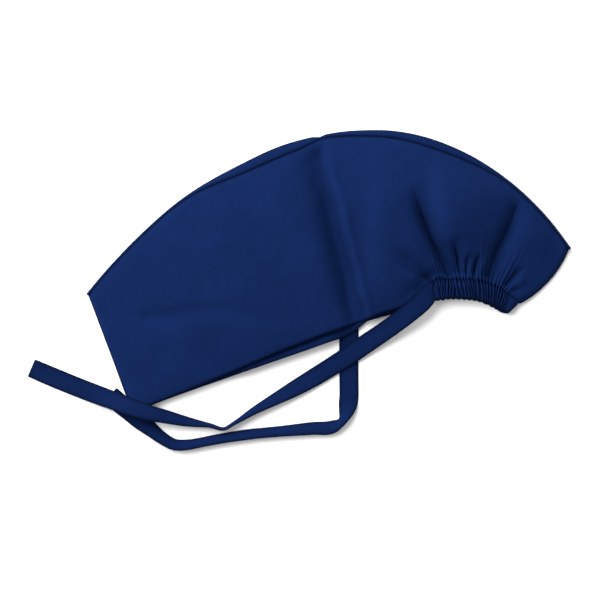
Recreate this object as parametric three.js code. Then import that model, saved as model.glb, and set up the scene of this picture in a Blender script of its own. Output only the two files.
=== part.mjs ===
import * as THREE from "three";

// A gathered scrub cap lying on its right side on a table. All sizes are in mm, +Z is up, the table is z = 0,
// the forehead is at -X, the nape at +X, and the crown of the head at +Y.

const CLOTH = 1.0;          // wall of the plain cloth pieces
const CASING = 2.0;         // wall of the gathered elastic casing
const TIE_WIDTH = 12.7;     // flat width of both ties
const SEAM_GAP = 0.65;       // air between the rims of two pieces sewn along the crown
const CASING_GAP = 0.9;     // air between a panel's rim and the casing's top
const TABLE_MID = 0.5;      // middle of a cloth wall that lies on the table
const CROWN_TUCK = 4.6;     // how far the crown strip reaches under the cap
const TIE_BUMP = 1.55;      // how far the right panel is lifted where it lies over the right tie
const RUFFLES = 17;         // folds along the near run of the casing

// One row per section of the head, from the centre front round over the crown to the centre back.
// brim: the bottom edge of the left panel. crown: the cap's outline. bow: sideways bulge of the section.
// sliver: width of the crown strip that shows. brimZ, seamZ: heights of the left panel at its two edges.
// puff: how high the panel pillows. cells: columns of cloth up to the next row.
const SECTIONS = [
  { name: "centre_front", brimX: -113.8, brimY: -80.9, crownX: -145.0, crownY: -0.8, bow: 0, sliver: 1.6, brimZ: 3.9, seamZ: 2.4, puff: 7, cells: 3 },
  { name: "front_roll", brimX: -104.0, brimY: -77.0, crownX: -134.0, crownY: 12.4, bow: 0, sliver: 1.6, brimZ: 4.6, seamZ: 2.7, puff: 7.6, cells: 4 },
  { name: "forehead", brimX: -77.0, brimY: -66.3, crownX: -111.0, crownY: 36.8, bow: 0, sliver: 1.6, brimZ: 5.8, seamZ: 3.0, puff: 8.8, cells: 6 },
  { name: "temple", brimX: -42.0, brimY: -51.8, crownX: -77.0, crownY: 66.0, bow: 0, sliver: 1.6, brimZ: 6.8, seamZ: 3.5, puff: 9.8, cells: 5 },
  { name: "before_ear", brimX: -8.0, brimY: -37.4, crownX: -40.0, crownY: 87.2, bow: 0, sliver: 5.6, brimZ: 7.4, seamZ: 4.2, puff: 10.4, cells: 5 },
  { name: "ear_front", brimX: 20.0, brimY: -26.7, crownX: -12.0, crownY: 99.9, bow: 0, sliver: 7.9, brimZ: 7.8, seamZ: 4.6, puff: 10.6, cells: 6 },
  { name: "crease", brimX: 40.0, brimY: -20.0, crownX: 12.5, crownY: 106.4, bow: 0, sliver: 2.0, brimZ: 7.9, seamZ: 4.4, puff: 11, cells: 4 },
  { name: "ear_back", brimX: 56.0, brimY: -12.3, crownX: 31.0, crownY: 109.4, bow: 0, sliver: 4.0, brimZ: 7.8, seamZ: 4.8, puff: 12.4, cells: 4 },
  { name: "behind_ear", brimX: 73.0, brimY: -7.6, crownX: 46.0, crownY: 110.2, bow: 0, sliver: 5.0, brimZ: 7.7, seamZ: 5.0, puff: 14, cells: 4 },
  { name: "tie_joint", brimX: 89.6, brimY: 7.4, crownX: 60.0, crownY: 110.0, bow: 0, sliver: 5.3, brimZ: 7.7, seamZ: 5.0, puff: 16, cells: 4 },
  { name: "fold_a", brimX: 100.5, brimY: 8.9, crownX: 78.0, crownY: 107.3, bow: 0, sliver: 5.6, brimZ: 9.2, seamZ: 5.0, puff: 17, cells: 6 },
  { name: "pouch", brimX: 113.0, brimY: 9.1, crownX: 106.5, crownY: 97.6, bow: 0, sliver: 6.1, brimZ: 9.0, seamZ: 4.6, puff: 17, cells: 7 },
  { name: "fold_b", brimX: 126.5, brimY: 7.0, crownX: 143.5, crownY: 74.6, bow: -2, sliver: 1.8, brimZ: 8.4, seamZ: 3.8, puff: 15, cells: 5 },
  { name: "nape", brimX: 138.0, brimY: 1.6, crownX: 169.0, crownY: 49.8, bow: 1, sliver: 1.6, brimZ: 7.2, seamZ: 3.0, puff: 11, cells: 4 },
  { name: "centre_back", brimX: 149.3, brimY: -7.0, crownX: 184.0, crownY: 30.3, bow: 4.5, sliver: 1.6, brimZ: 5.0, seamZ: 2.3, puff: 7, cells: 0 },
];

// The outline of the crown between those rows, so that the curve passes where the cloth does.
const CROWN_NOTCH = { x: 13, depth: 1.0, half: 3.0 };

// The far (right) panel's brim shows this far below the near one.
const FAR_DROP = [
  { x: -120, drop: 0.2 }, { x: -104, drop: 0.3 }, { x: -77, drop: 1.0 }, { x: -42, drop: 3.2 }, { x: -8, drop: 5.8 }, { x: 20, drop: 6.6 },
  { x: 30, drop: 6.4 }, { x: 41, drop: 3.3 }, { x: 48, drop: 1.9 }, { x: 55, drop: 4.0 }, { x: 66, drop: 3.2 }, { x: 78, drop: 1.6 },
  { x: 87, drop: 0.6 }, { x: 90, drop: -0.3 }, { x: 94, drop: -0.5 }, { x: 118, drop: -0.2 }, { x: 128, drop: 0.7 }, { x: 140, drop: 1.2 }, { x: 150, drop: 0.4 },
];

// The casing's hem, by the section it stands under.
const HEM = [
  { section: "tie_joint", x: 92.2, y: -4.6, z: 8.6 },
  { section: "fold_a", x: 101.0, y: -3.1, z: 9.1 },
  { section: "pouch", x: 115.0, y: -3.5, z: 9.0 },
  { section: "fold_b", x: 126.0, y: -5.6, z: 8.3 },
  { section: "nape", x: 134.6, y: -9.0, z: 7.4 },
  { section: "centre_back", x: 141.0, y: -12.4, z: 6.6 },
];
// Where the near run ends, as a share of the last bay, and the turn it makes into the far run.
const TURN = { from: 0.74, reach: 2.0, lower: 1.25, backX: -0.6, backY: -2.0, frontY: -0.2 };

// Folds of the left panel. before and after are the widths of a valley's two flanks, ridge and ridgeAt the raised roll beside it.
const FOLDS = [
  { name: "crease", depth: 3.2, before: 7.0, after: 3.2, ridge: 1.4, ridgeAt: 9, spread: 0.3, fade: 0.25,
    line: [[34.7, -13.3], [29.2, -3.1], [27.2, 9.2], [23.5, 28.2], [19, 45.9], [13.9, 66.3], [10.9, 98.3]] },
  { name: "fold_a", depth: 4.0, before: 4.5, after: 3.0, ridge: 1.4, ridgeAt: 7, spread: 1.0, fade: 0.9,
    line: [[100.3, 11.9], [96.5, 19.6], [88.9, 33.5], [81.3, 51.3], [74.8, 73.1]] },
  { name: "fold_c", depth: 2.2, before: 2.6, after: 2.6, ridge: 0.8, ridgeAt: 5, spread: 1.0, fade: 1.0,
    line: [[107.9, 11.9], [105.4, 23.5], [101.3, 36]] },
  { name: "fold_b", depth: 4.2, before: 7.0, after: 3.6, ridge: 1.6, ridgeAt: 8, spread: 1.0, fade: 0.9,
    line: [[127, 11.9], [131.9, 28.4], [139.6, 42.5], [148.5, 66.5]] },
  { name: "fold_f", depth: 2.2, before: 2.6, after: 3.4, ridge: 0.9, ridgeAt: 5, spread: 0.8, fade: 1.0,
    line: [[137.8, 4.4], [144.2, 10.1], [147.6, 14.3], [154.4, 16.7]] },
  { name: "fold_h", depth: 1.4, before: 4.0, after: 4.0, ridge: 0.5, ridgeAt: 7, spread: 1.0, fade: 1.0,
    line: [[91.4, 6.9], [81.3, 16], [71.1, 23.5], [55.8, 29.7]] },
  { name: "front_wrinkle", depth: 0.7, before: 6.0, after: 6.0, ridge: 0.3, ridgeAt: 10, spread: 0.2, fade: 0.5,
    line: [[-103.4, -16], [-81.6, -13.3], [-54.1, -10.3], [-10.5, -17.6]] },
];

// The ties, from the casing to the free end. roll raises the outer edge, lift is the air under the lower edge,
// skew turns the row so that it meets the casing's end.
const LEFT_TIE = [
  { x: 89.9, y: 1.2, roll: 0, lift: 8.6, skew: -35 },
  { x: 87.2, y: -1.4, roll: 0, lift: 9.9, skew: -14 },
  { x: 82.3, y: -6.7, roll: 0, lift: 10.1, skew: 0 },
  { x: 72.4, y: -15.0, roll: 0, lift: 9.1, skew: 0 },
  { x: 58.3, y: -25.5, roll: 0, lift: 5.6, skew: 0 },
  { x: 43.9, y: -35.4, roll: 0, lift: 3.0, skew: 0 },
  { x: 31.4, y: -43.9, roll: 0, lift: 1.7, skew: 0 },
  { x: 15.3, y: -54.2, roll: 12, lift: 0.4, skew: 0 },
  { x: -1.1, y: -63.8, roll: 30, lift: 0, skew: 0 },
  { x: -16.8, y: -72.4, roll: 51, lift: 0, skew: 0 },
  { x: -32.2, y: -80.9, roll: 70, lift: 0, skew: 0 },
  { x: -44.0, y: -88.0, roll: 84, lift: 0, skew: 0 },
  { x: -52.0, y: -92.2, roll: 90, lift: 0, skew: 0 },
  { x: -60.5, y: -91.3, roll: 84, lift: 0, skew: 0 },
  { x: -76.8, y: -87.6, roll: 61, lift: 0.3, skew: 0 },
  { x: -90.0, y: -84.4, roll: 48, lift: 3.2, skew: 0 },
  { x: -102.3, y: -81.4, roll: 37, lift: 6.1, skew: 0 },
  { x: -115.0, y: -77.4, roll: 26, lift: 5.9, skew: 0 },
  { x: -129.4, y: -72.4, roll: 15, lift: 2.3, skew: 0 },
  { x: -145.0, y: -66.7, roll: 9, lift: 0.4, skew: 0 },
  { x: -160.0, y: -60.8, roll: 4, lift: 0, skew: 0 },
  { x: -182.4, y: -51.4, roll: 0, lift: 0, skew: 0 },
];
const RIGHT_TIE = [
  { x: 89.3, y: 0.0, roll: 0, lift: 0.25, skew: -5 },
  { x: 84.0, y: -1.4, roll: 0, lift: 0, skew: 0 },
  { x: 75.0, y: -3.0, roll: 0, lift: 0, skew: 0 },
  { x: 63.0, y: -4.0, roll: 0, lift: 0, skew: 0 },
  { x: 52.0, y: -4.4, roll: 0, lift: 0, skew: 0 },
  { x: 43.0, y: -6.8, roll: 0, lift: 0, skew: 0 },
  { x: 36.6, y: -12.6, roll: 0, lift: 0, skew: 0 },
  { x: 33.8, y: -20.5, roll: 0, lift: 0, skew: 0 },
  { x: 33.3, y: -30.0, roll: 0, lift: 0, skew: 0 },
  { x: 33.2, y: -44.0, roll: 0, lift: 0, skew: 0 },
  { x: 33.2, y: -60.0, roll: 0, lift: 0, skew: 0 },
  { x: 32.6, y: -75.0, roll: 8, lift: 0, skew: 0 },
  { x: 30.9, y: -82.5, roll: 24, lift: 0, skew: 0 },
  { x: 26.8, y: -87.6, roll: 38, lift: 0, skew: 0 },
  { x: 20.4, y: -90.6, roll: 45, lift: 0, skew: 0 },
  { x: 8.0, y: -92.3, roll: 50, lift: 0, skew: 0 },
  { x: -12.8, y: -94.2, roll: 58, lift: 0, skew: 0 },
  { x: -33.6, y: -96.2, roll: 59, lift: 0, skew: 0 },
  { x: -54.4, y: -99.3, roll: 60, lift: 0, skew: 0 },
  { x: -66.4, y: -101.6, roll: 61, lift: 0, skew: 0 },
  { x: -76.0, y: -103.3, roll: 58, lift: 0, skew: 0 },
  { x: -85.5, y: -103.2, roll: 55, lift: 0, skew: 0 },
  { x: -92.5, y: -99.5, roll: 52, lift: 0, skew: 0 },
  { x: -103.7, y: -90.8, roll: 34, lift: 0, skew: 0 },
  { x: -112.5, y: -83.5, roll: 2, lift: 0, skew: 0 },
  { x: -122.4, y: -75.5, roll: 0, lift: 0, skew: 0 },
  { x: -128.8, y: -70.0, roll: 0, lift: 0, skew: 0 },
];

// ---------- small maths ----------
const mix = (a, b, t) => a + (b - a) * t;
const clamp = (x, lo, hi) => Math.min(hi, Math.max(lo, x));
const smooth = (t) => { const k = clamp(t, 0, 1); return k * k * (3 - 2 * k); };
const edge = (d, r) => 1 - Math.exp(-Math.max(0, d) / r);
const bell = (d, w) => Math.exp(-(d * d) / (w * w));
const radians = (deg) => (deg * Math.PI) / 180;

// Distances run along a list of places, from 0.
function along(places) {
  const at = [0];
  for (let k = 1; k < places.length; k += 1) {
    at.push(at[k - 1] + Math.hypot(places[k][0] - places[k - 1][0], places[k][1] - places[k - 1][1]));
  }
  return at;
}

// One column of a table as a smooth curve through its values.
function curve(at, values, s) {
  const last = at.length - 1;
  let k = 0;
  while (k < last - 1 && s > at[k + 1]) k += 1;
  const slope = (a) => (values[a + 1] - values[a]) / (at[a + 1] - at[a]);
  const tangent = (a) => {
    if (a === 0) return slope(0);
    if (a === last) return slope(last - 1);
    const back = at[a] - at[a - 1];
    const ahead = at[a + 1] - at[a];
    return (ahead * slope(a - 1) + back * slope(a)) / (back + ahead);
  };
  const h = at[k + 1] - at[k];
  const t = clamp((s - at[k]) / h, 0, 1);
  const t2 = t * t;
  const t3 = t2 * t;
  return (2 * t3 - 3 * t2 + 1) * values[k] + (t3 - 2 * t2 + t) * h * tangent(k)
    + (-2 * t3 + 3 * t2) * values[k + 1] + (t3 - t2) * h * tangent(k + 1);
}

function steps(at, values, s) {
  let k = 0;
  while (k < at.length - 2 && s > at[k + 1]) k += 1;
  return mix(values[k], values[k + 1], clamp((s - at[k]) / (at[k + 1] - at[k]), 0, 1));
}

// The nearest place on a line: how far off, how far along from 0 to 1, and on which side (+1 is left of its run).
function nearest(line, x, y) {
  const at = along(line);
  let best = { far: Infinity, share: 0, side: 1 };
  for (let k = 0; k < line.length - 1; k += 1) {
    const [ax, ay] = line[k];
    const ux = line[k + 1][0] - ax;
    const uy = line[k + 1][1] - ay;
    const t = clamp(((x - ax) * ux + (y - ay) * uy) / (ux * ux + uy * uy), 0, 1);
    const far = Math.hypot(x - ax - ux * t, y - ay - uy * t);
    if (far < best.far) {
      best = { far, share: mix(at[k], at[k + 1], t) / at[at.length - 1], side: ux * (y - ay) - uy * (x - ax) >= 0 ? 1 : -1 };
    }
  }
  return best;
}

// ---------- the plan of the cap ----------
const CROWN_AT = along(SECTIONS.map((r) => [r.crownX, r.crownY]));
const ROUND = CROWN_AT[CROWN_AT.length - 1];
const stationOf = (name) => CROWN_AT[SECTIONS.findIndex((r) => r.name === name)];
const section = (key, s) => curve(CROWN_AT, SECTIONS.map((r) => r[key]), s);

function outline(s) {
  const x = section("crownX", s);
  const y = section("crownY", s) - CROWN_NOTCH.depth * bell(x - CROWN_NOTCH.x, CROWN_NOTCH.half);
  const dx = section("crownX", s + 0.5) - section("crownX", s - 0.5);
  const dy = section("crownY", s + 0.5) - section("crownY", s - 0.5);
  const len = Math.hypot(dx, dy) || 1;
  return { x, y, outX: -dy / len, outY: dx / len };
}

// A place on a panel, t = 0 at the brim and 1 at the crown seam, which is inset from the outline.
function plan(s, t, inset, dropX, dropY) {
  const crown = outline(s);
  const brimX = section("brimX", s) + dropX;
  const brimY = section("brimY", s) - dropY;
  const seamX = crown.x - inset * crown.outX;
  const seamY = crown.y - inset * crown.outY;
  const long = Math.hypot(seamX - brimX, seamY - brimY);
  const swell = (section("bow", s) * 4 * t * (1 - t)) / long;
  return {
    x: mix(brimX, seamX, t) + swell * (seamY - brimY),
    y: mix(brimY, seamY, t) - swell * (seamX - brimX),
    long,
  };
}

const FIRST = SECTIONS[0];
const LAST = SECTIONS[SECTIONS.length - 1];
function offLine(row, x, y) {
  const ux = row.crownX - row.brimX;
  const uy = row.crownY - row.brimY;
  return Math.abs(ux * (y - row.brimY) - uy * (x - row.brimX)) / Math.hypot(ux, uy);
}

function foldHeight(x, y) {
  let z = 0;
  for (const fold of FOLDS) {
    const n = nearest(fold.line, x, y);
    const grown = 1 + fold.spread * n.share;
    const strength = 1 - fold.fade * smooth(n.share);
    const flank = (n.side > 0 ? fold.before : fold.after) * grown;
    z -= fold.depth * strength * bell(n.far, flank);
    if (n.side < 0) z += fold.ridge * strength * bell(n.far - fold.ridgeAt * grown, fold.ridgeAt * 0.55 * grown);
  }
  return z;
}

// Height of the left panel's middle.
function upperZ(s, t, x, y, long) {
  const seamZ = section("seamZ", s);
  const brimZ = section("brimZ", s);
  const dBrim = t * long;
  const dCrown = (1 - t) * long;
  const pillow = seamZ + section("puff", s) * edge(offLine(FIRST, x, y), 16) * edge(dCrown, 22) * edge(offLine(LAST, x, y) + 1.2, 14);
  const inside = smooth(dBrim / 9) * smooth(dCrown / 14) * smooth(offLine(LAST, x, y) / 12);
  return mix(brimZ, pillow, edge(dBrim, 25)) + foldHeight(x, y) * inside;
}

// The hidden run of the right tie, under the right panel.
const UNDER_TIE = RIGHT_TIE.filter((r) => r.x > 30 && r.y > -45).map((r) => [r.x, r.y]);
const UNDER_TIP = RIGHT_TIE.filter((r) => r.x < -100).map((r) => [r.x, r.y]);

function lowerZ(s, t, x, y) {
  const overRun = 1 - smooth((nearest(UNDER_TIE, x, y).far - 8) / 15);
  const overTip = 1 - smooth((nearest(UNDER_TIP, x, y).far - 8) / 14);
  const back = 1 - smooth(Math.hypot(x - LAST.brimX, y - LAST.brimY) / 26);
  return TABLE_MID + TIE_BUMP * Math.max(overRun, overTip) + 2.2 * back;
}

// ---------- building ----------
const NAVY = new THREE.MeshStandardMaterial({ color: 0x1b2f63, roughness: 0.9, metalness: 0 });
const NAVY_BAND = new THREE.MeshStandardMaterial({ color: 0x182a58, roughness: 0.9, metalness: 0 });

// A closed sheet of cloth. middle(i, j) is the place of one point of its middle surface, and its outer side is the one
// that i-steps crossed with j-steps point to.
function sheet(name, columns, rows, middle, wall, material) {
  const mid = [];
  for (let i = 0; i <= columns; i += 1) {
    for (let j = 0; j <= rows; j += 1) mid.push(middle(i, j));
  }
  const at = (i, j) => mid[i * (rows + 1) + j];
  const outer = [];
  const inner = [];
  for (let i = 0; i <= columns; i += 1) {
    for (let j = 0; j <= rows; j += 1) {
      const u = at(Math.min(i + 1, columns), j).clone().sub(at(Math.max(i - 1, 0), j));
      const v = at(i, Math.min(j + 1, rows)).clone().sub(at(i, Math.max(j - 1, 0)));
      const n = u.cross(v).normalize().multiplyScalar(wall / 2);
      outer.push(at(i, j).clone().add(n));
      inner.push(at(i, j).clone().sub(n));
    }
  }
  const points = [...outer, ...inner];
  const half = outer.length;
  const a = (i, j) => i * (rows + 1) + j;
  const b = (i, j) => half + a(i, j);
  const faces = [];
  const quad = (p, q, r, s) => {
    const short = points[p].distanceTo(points[r]) <= points[q].distanceTo(points[s]);
    if (short) faces.push([p, q, r], [p, r, s]);
    else faces.push([p, q, s], [q, r, s]);
  };
  for (let i = 0; i < columns; i += 1) {
    for (let j = 0; j < rows; j += 1) {
      quad(a(i, j), a(i + 1, j), a(i + 1, j + 1), a(i, j + 1));
      quad(b(i, j), b(i, j + 1), b(i + 1, j + 1), b(i + 1, j));
    }
    quad(a(i, 0), b(i, 0), b(i + 1, 0), a(i + 1, 0));
    quad(a(i, rows), a(i + 1, rows), b(i + 1, rows), b(i, rows));
  }
  for (let j = 0; j < rows; j += 1) {
    quad(a(0, j), a(0, j + 1), b(0, j + 1), b(0, j));
    quad(a(columns, j), b(columns, j), b(columns, j + 1), a(columns, j + 1));
  }
  const geometry = new THREE.BufferGeometry();
  geometry.setAttribute("position", new THREE.Float32BufferAttribute(points.flatMap((p) => [p.x, p.y, p.z]), 3));
  geometry.setIndex(faces.flat());
  geometry.computeVertexNormals();
  const mesh = new THREE.Mesh(geometry, material);
  mesh.name = name;
  return mesh;
}

// Stations round the cap, `cells` of them to each row of the table.
function stations(share) {
  const out = [];
  SECTIONS.slice(0, -1).forEach((row, k) => {
    const n = Math.max(1, Math.round(row.cells * share));
    for (let c = 0; c < n; c += 1) out.push(mix(CROWN_AT[k], CROWN_AT[k + 1], c / n));
  });
  out.push(ROUND);
  return out;
}

function leftPanel() {
  const at = stations(1);
  const rows = 14;
  return sheet("left_side_panel", at.length - 1, rows, (i, j) => {
    const s = at[i];
    const t = j / rows;
    const p = plan(s, t, section("sliver", s) + SEAM_GAP, 0, 0);
    return new THREE.Vector3(p.x, p.y, upperZ(s, t, p.x, p.y, p.long));
  }, CLOTH, NAVY);
}

const farDrop = (x) => curve(FAR_DROP.map((r) => r.x), FAR_DROP.map((r) => r.drop), x);

function rightPanel() {
  const at = stations(0.6);
  const rows = 9;
  return sheet("right_side_panel", at.length - 1, rows, (i, j) => {
    const s = at[i];
    const t = j / rows;
    const p = plan(s, t, CROWN_TUCK + SEAM_GAP, 0, farDrop(section("brimX", s)));
    return new THREE.Vector3(p.x, p.y, lowerZ(s, t, p.x, p.y));
  }, CLOTH, NAVY);
}

// The strip over the crown: flat under the cap, round the outline, and up to the left panel's seam.
function crownStrip() {
  const at = stations(0.85);
  const rows = 8;
  return sheet("crown_strip", at.length - 1, rows, (i, j) => {
    const s = at[i];
    const o = outline(s);
    const sliver = section("sliver", s);
    const top = section("seamZ", s);
    const waist = mix(TABLE_MID, top, 0.5);
    const out = CLOTH / 2;
    const heel = 2.1;
    let q = CROWN_TUCK;
    let z = TABLE_MID;
    if (j <= 4) {
      const turn = (Math.PI / 2) * (1 - j / 4);
      q = out + (sliver - out) * (1 - Math.cos(turn));
      z = waist + (top - waist) * Math.sin(turn);
    } else if (j <= 7) {
      const turn = (Math.PI / 2) * ((j - 4) / 3);
      q = out + (heel - out) * (1 - Math.cos(turn));
      z = waist - (waist - TABLE_MID) * Math.sin(turn);
    }
    return new THREE.Vector3(o.x - q * o.outX, o.y - q * o.outY, z);
  }, CLOTH, NAVY);
}

// The gathered casing: along the nape's near side, round the centre back, and back along the far side.
function casing() {
  const start = stationOf("tie_joint");
  const hemAt = HEM.map((r) => stationOf(r.section));
  const hem = (key, s) => curve(hemAt, HEM.map((r) => r[key]), s);
  const base = (s, t) => {
    const topX = section("brimX", s);
    const topY = section("brimY", s);
    const lowX = hem("x", s);
    const lowY = hem("y", s);
    const long = Math.hypot(topX - lowX, topY - lowY);
    const stop = 1 - CASING_GAP / long;
    return { x: mix(lowX, topX, t * stop), y: mix(lowY, topY, t * stop), z: hem("z", s) };
  };
  const end = mix(stationOf("nape"), ROUND, TURN.from);
  const near = RUFFLES * 4;
  const turn = 8;
  const far = 24;
  const rows = 2;
  return sheet("elastic_casing", near + turn + far, rows, (i, j) => {
    const t = j / rows;
    if (i <= near) {
      const share = i / near;
      const s = mix(start, end, share);
      const p = base(s, t);
      const calm = smooth(share * 12) * smooth((1 - share) * 7);
      const wave = Math.cos(2 * Math.PI * RUFFLES * share) * calm;
      return new THREE.Vector3(p.x, p.y, p.z + 0.35 * wave * (0.6 + 0.4 * t));
    }
    const last = base(end, t);
    const before = base(end - 4, t);
    const len = Math.hypot(last.x - before.x, last.y - before.y);
    const goX = (last.x - before.x) / len;
    const goY = (last.y - before.y) / len;
    if (i < near + turn) {
      const angle = (Math.PI * (i - near)) / turn;
      const half = (last.z - TURN.lower) / 2;
      const done = (i - near) / turn;
      return new THREE.Vector3(
        last.x + goX * TURN.reach * Math.sin(angle) + TURN.backX * done,
        last.y + goY * TURN.reach * Math.sin(angle) + TURN.backY * done,
        TURN.lower + half + half * Math.cos(angle),
      );
    }
    const share = (i - near - turn) / far;
    const p = base(mix(end, start, share), t);
    return new THREE.Vector3(p.x + TURN.backX, p.y + mix(TURN.backY, TURN.frontY, smooth(share * 1.6)), TURN.lower);
  }, CASING, NAVY_BAND);
}

function tie(name, rows, cells) {
  const at = along(rows.map((r) => [r.x, r.y]));
  const long = at[at.length - 1];
  const get = (key, s) => curve(at, rows.map((r) => r[key]), s);
  const straight = (key, s) => steps(at, rows.map((r) => r[key]), s);
  return sheet(name, cells, 1, (i, j) => {
    const s = (long * i) / cells;
    const dx = get("x", Math.min(long, s + 0.5)) - get("x", Math.max(0, s - 0.5));
    const dy = get("y", Math.min(long, s + 0.5)) - get("y", Math.max(0, s - 0.5));
    const heading = Math.atan2(dy, dx) + Math.PI / 2 + radians(straight("skew", s));
    const roll = radians(clamp(get("roll", s), 0, 90));
    const half = TIE_WIDTH / 2;
    const side = j === 1 ? half : -half;
    const z = (CLOTH / 2) * Math.cos(roll) + half * Math.sin(roll) + Math.max(0, get("lift", s));
    return new THREE.Vector3(
      get("x", s) + side * Math.cos(roll) * Math.cos(heading),
      get("y", s) + side * Math.cos(roll) * Math.sin(heading),
      z + side * Math.sin(roll),
    );
  }, CLOTH, NAVY);
}

const group = new THREE.Group();
group.name = "scrub_cap";
for (const mesh of [
  leftPanel(),
  rightPanel(),
  crownStrip(),
  casing(),
  tie("left_tie", LEFT_TIE, 68),
  tie("right_tie", RIGHT_TIE, 72),
]) group.add(mesh);

// The origin is the middle of the bottom of the whole.
const box = new THREE.Box3().setFromObject(group);
const shift = new THREE.Vector3(-(box.min.x + box.max.x) / 2, -(box.min.y + box.max.y) / 2, -box.min.z);
for (const mesh of group.children) mesh.geometry.translate(shift.x, shift.y, shift.z);

export default group;
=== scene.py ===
"""A navy scrub cap lying on its right side: two panels, a crown strip, a gathered nape casing and two flat ties."""

import math

import bpy
import numpy as np
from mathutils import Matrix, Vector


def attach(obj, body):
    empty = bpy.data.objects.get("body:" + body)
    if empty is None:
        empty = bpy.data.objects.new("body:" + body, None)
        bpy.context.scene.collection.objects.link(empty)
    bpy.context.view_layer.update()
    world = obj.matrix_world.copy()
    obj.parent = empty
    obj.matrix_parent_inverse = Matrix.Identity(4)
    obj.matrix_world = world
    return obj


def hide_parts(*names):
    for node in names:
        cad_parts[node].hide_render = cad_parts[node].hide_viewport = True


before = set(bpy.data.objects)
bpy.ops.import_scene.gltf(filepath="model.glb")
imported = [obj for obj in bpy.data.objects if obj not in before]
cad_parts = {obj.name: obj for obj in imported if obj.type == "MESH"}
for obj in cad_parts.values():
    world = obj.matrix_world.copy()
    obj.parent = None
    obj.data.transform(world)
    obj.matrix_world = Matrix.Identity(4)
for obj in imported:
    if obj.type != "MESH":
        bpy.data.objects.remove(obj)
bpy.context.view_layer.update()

MM = 0.001

# ---------------------------------------------------------------- sizes, mm
PANEL_WALL = 0.8  # plain cloth with its seam allowances
HEM_EXTRA, HEM_DEEP = 0.5, 9.0  # a turned hem adds this to the wall, this far in from the brim
TIE_WALL, TIE_WIDTH = 0.95, 12.7
CASING_WALL, CASING_WIDE = 2.0, 12.0
CASING_LAP = 0.8  # the casing passes under the panel this far, and both ruffle together
TABLE_MID = 0.5  # how high the middle of a cloth lies on the table
SEAM_GAP = 0.45
CROWN_TUCK = 4.6  # how far in below the outline the crown strip meets the right panel
STRIP_HEEL = 2.1  # how far in the strip's turn under the cap reaches
TIE_RELAX, TIE_CURL = 0.42, 2.4  # a tie on its edge slumps and curls
TIE_BUMP = 1.55  # the right panel rises this much over a tie that passes under it
BACK_RISE = 2.2  # and this much at the centre back, over the turned casing
BRIM_RISE = 1.2  # midway along, the left panel's open brim stands above the frame's
SEAM_RISE = 2.2  # the sewn crown edge stands a little above the frame's
PUFF_LESS, PUFF_LESS_MIDWAY = 2.0, 1.6  # the folded panel puffs up less than its sections, and less again midway
PUFF_REACH = {"front": 24, "crown": 34, "back": 19, "brim": 25}  # how far in from each edge the puff comes up
LOWEST, LOWEST_ROUND = 3.8, 2.0  # the left panel never sinks onto the right one, and bottoms out softly
FOLD_AT_CASING, FOLD_AT_BRIM = 0.3, 0.75  # the share of a fold's depth that each edge follows
UNEVEN, UNEVEN_FINE, PUCKER = 0.16, 0.05, 0.16
FRONT_TURN, BACK_TURN = 2.6, 1.9  # how wide the left panel's ends roll down onto the right panel
FAR_LIFT = {"rise": 5.4, "reach": 10.0, "from": -70.0, "to": 32.0}  # the right panel's open brim curls up
RUFFLES, RUFFLE_RISE = 29, 3.4
CELLS_PER_RUFFLE, TURN_CELLS, FAR_CELLS, CASING_ROWS = 14, 20, 110, 16
NEAR_CELLS = RUFFLES * CELLS_PER_RUFFLE
FAR_RUFFLES = 15  # the casing's far run lies flatter
UNDER_BRIM = 0.04  # the least gap between the casing's upper face and the panel that laps it
HEM_DIP, HEM_SHARE = 0.5, 0.12  # the casing's hem turns down this much over this share of its width
THREAD_PITCH = 0.42  # one thread of the plain weave to the next

# One row per section of the head, from the centre front round over the crown to the centre back: its brim and crown
# in plan, its bow, the heights of brim and seam, how far it puffs up, and the cells up to the next section.
SECTION_KEYS = ("brimX", "brimY", "crownX", "crownY", "bow", "brimZ", "seamZ", "puff", "cells")
SECTIONS = {
    "centre_front": (-113.8, -80.9, -145.0, -0.8, 0, 3.9, 2.4, 7.0, 15),
    "front_roll": (-104.0, -77.0, -134.0, 12.4, 0, 4.6, 2.7, 7.6, 14),
    "forehead": (-77.0, -66.3, -111.0, 36.8, 0, 5.8, 3.0, 8.8, 20),
    "temple": (-42.0, -51.8, -77.0, 66.0, 0, 6.8, 3.5, 9.8, 20),
    "before_ear": (-8.0, -37.4, -40.0, 87.2, 0, 7.4, 4.2, 10.4, 20),
    "ear_front": (20.0, -26.7, -12.0, 99.9, 0, 7.8, 4.6, 10.6, 24),
    "crease": (40.0, -20.0, 12.5, 106.4, 0, 7.9, 4.4, 11.0, 20),
    "ear_back": (56.0, -13.5, 31.0, 109.4, 0, 7.8, 4.8, 12.4, 18),
    "behind_ear": (73.0, -7.6, 46.0, 110.2, 0, 7.7, 5.0, 14.0, 18),
    "tie_joint": (89.6, 7.4, 60.0, 110.0, 0, 7.7, 5.0, 16.0, 44),
    "fold_a": (100.5, 8.9, 78.0, 107.3, 0, 9.2, 5.0, 17.0, 50),
    "pouch": (113.0, 9.1, 106.5, 97.6, 0, 9.0, 4.6, 17.0, 56),
    "fold_b": (126.5, 7.0, 143.5, 74.6, -2, 8.4, 3.8, 15.0, 52),
    "nape": (138.0, 1.6, 169.0, 49.8, 1, 7.2, 3.0, 11.0, 34),
    "centre_back": (149.3, -7.0, 184.0, 30.3, 4.5, 5.0, 2.3, 7.0, 0),
}
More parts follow.
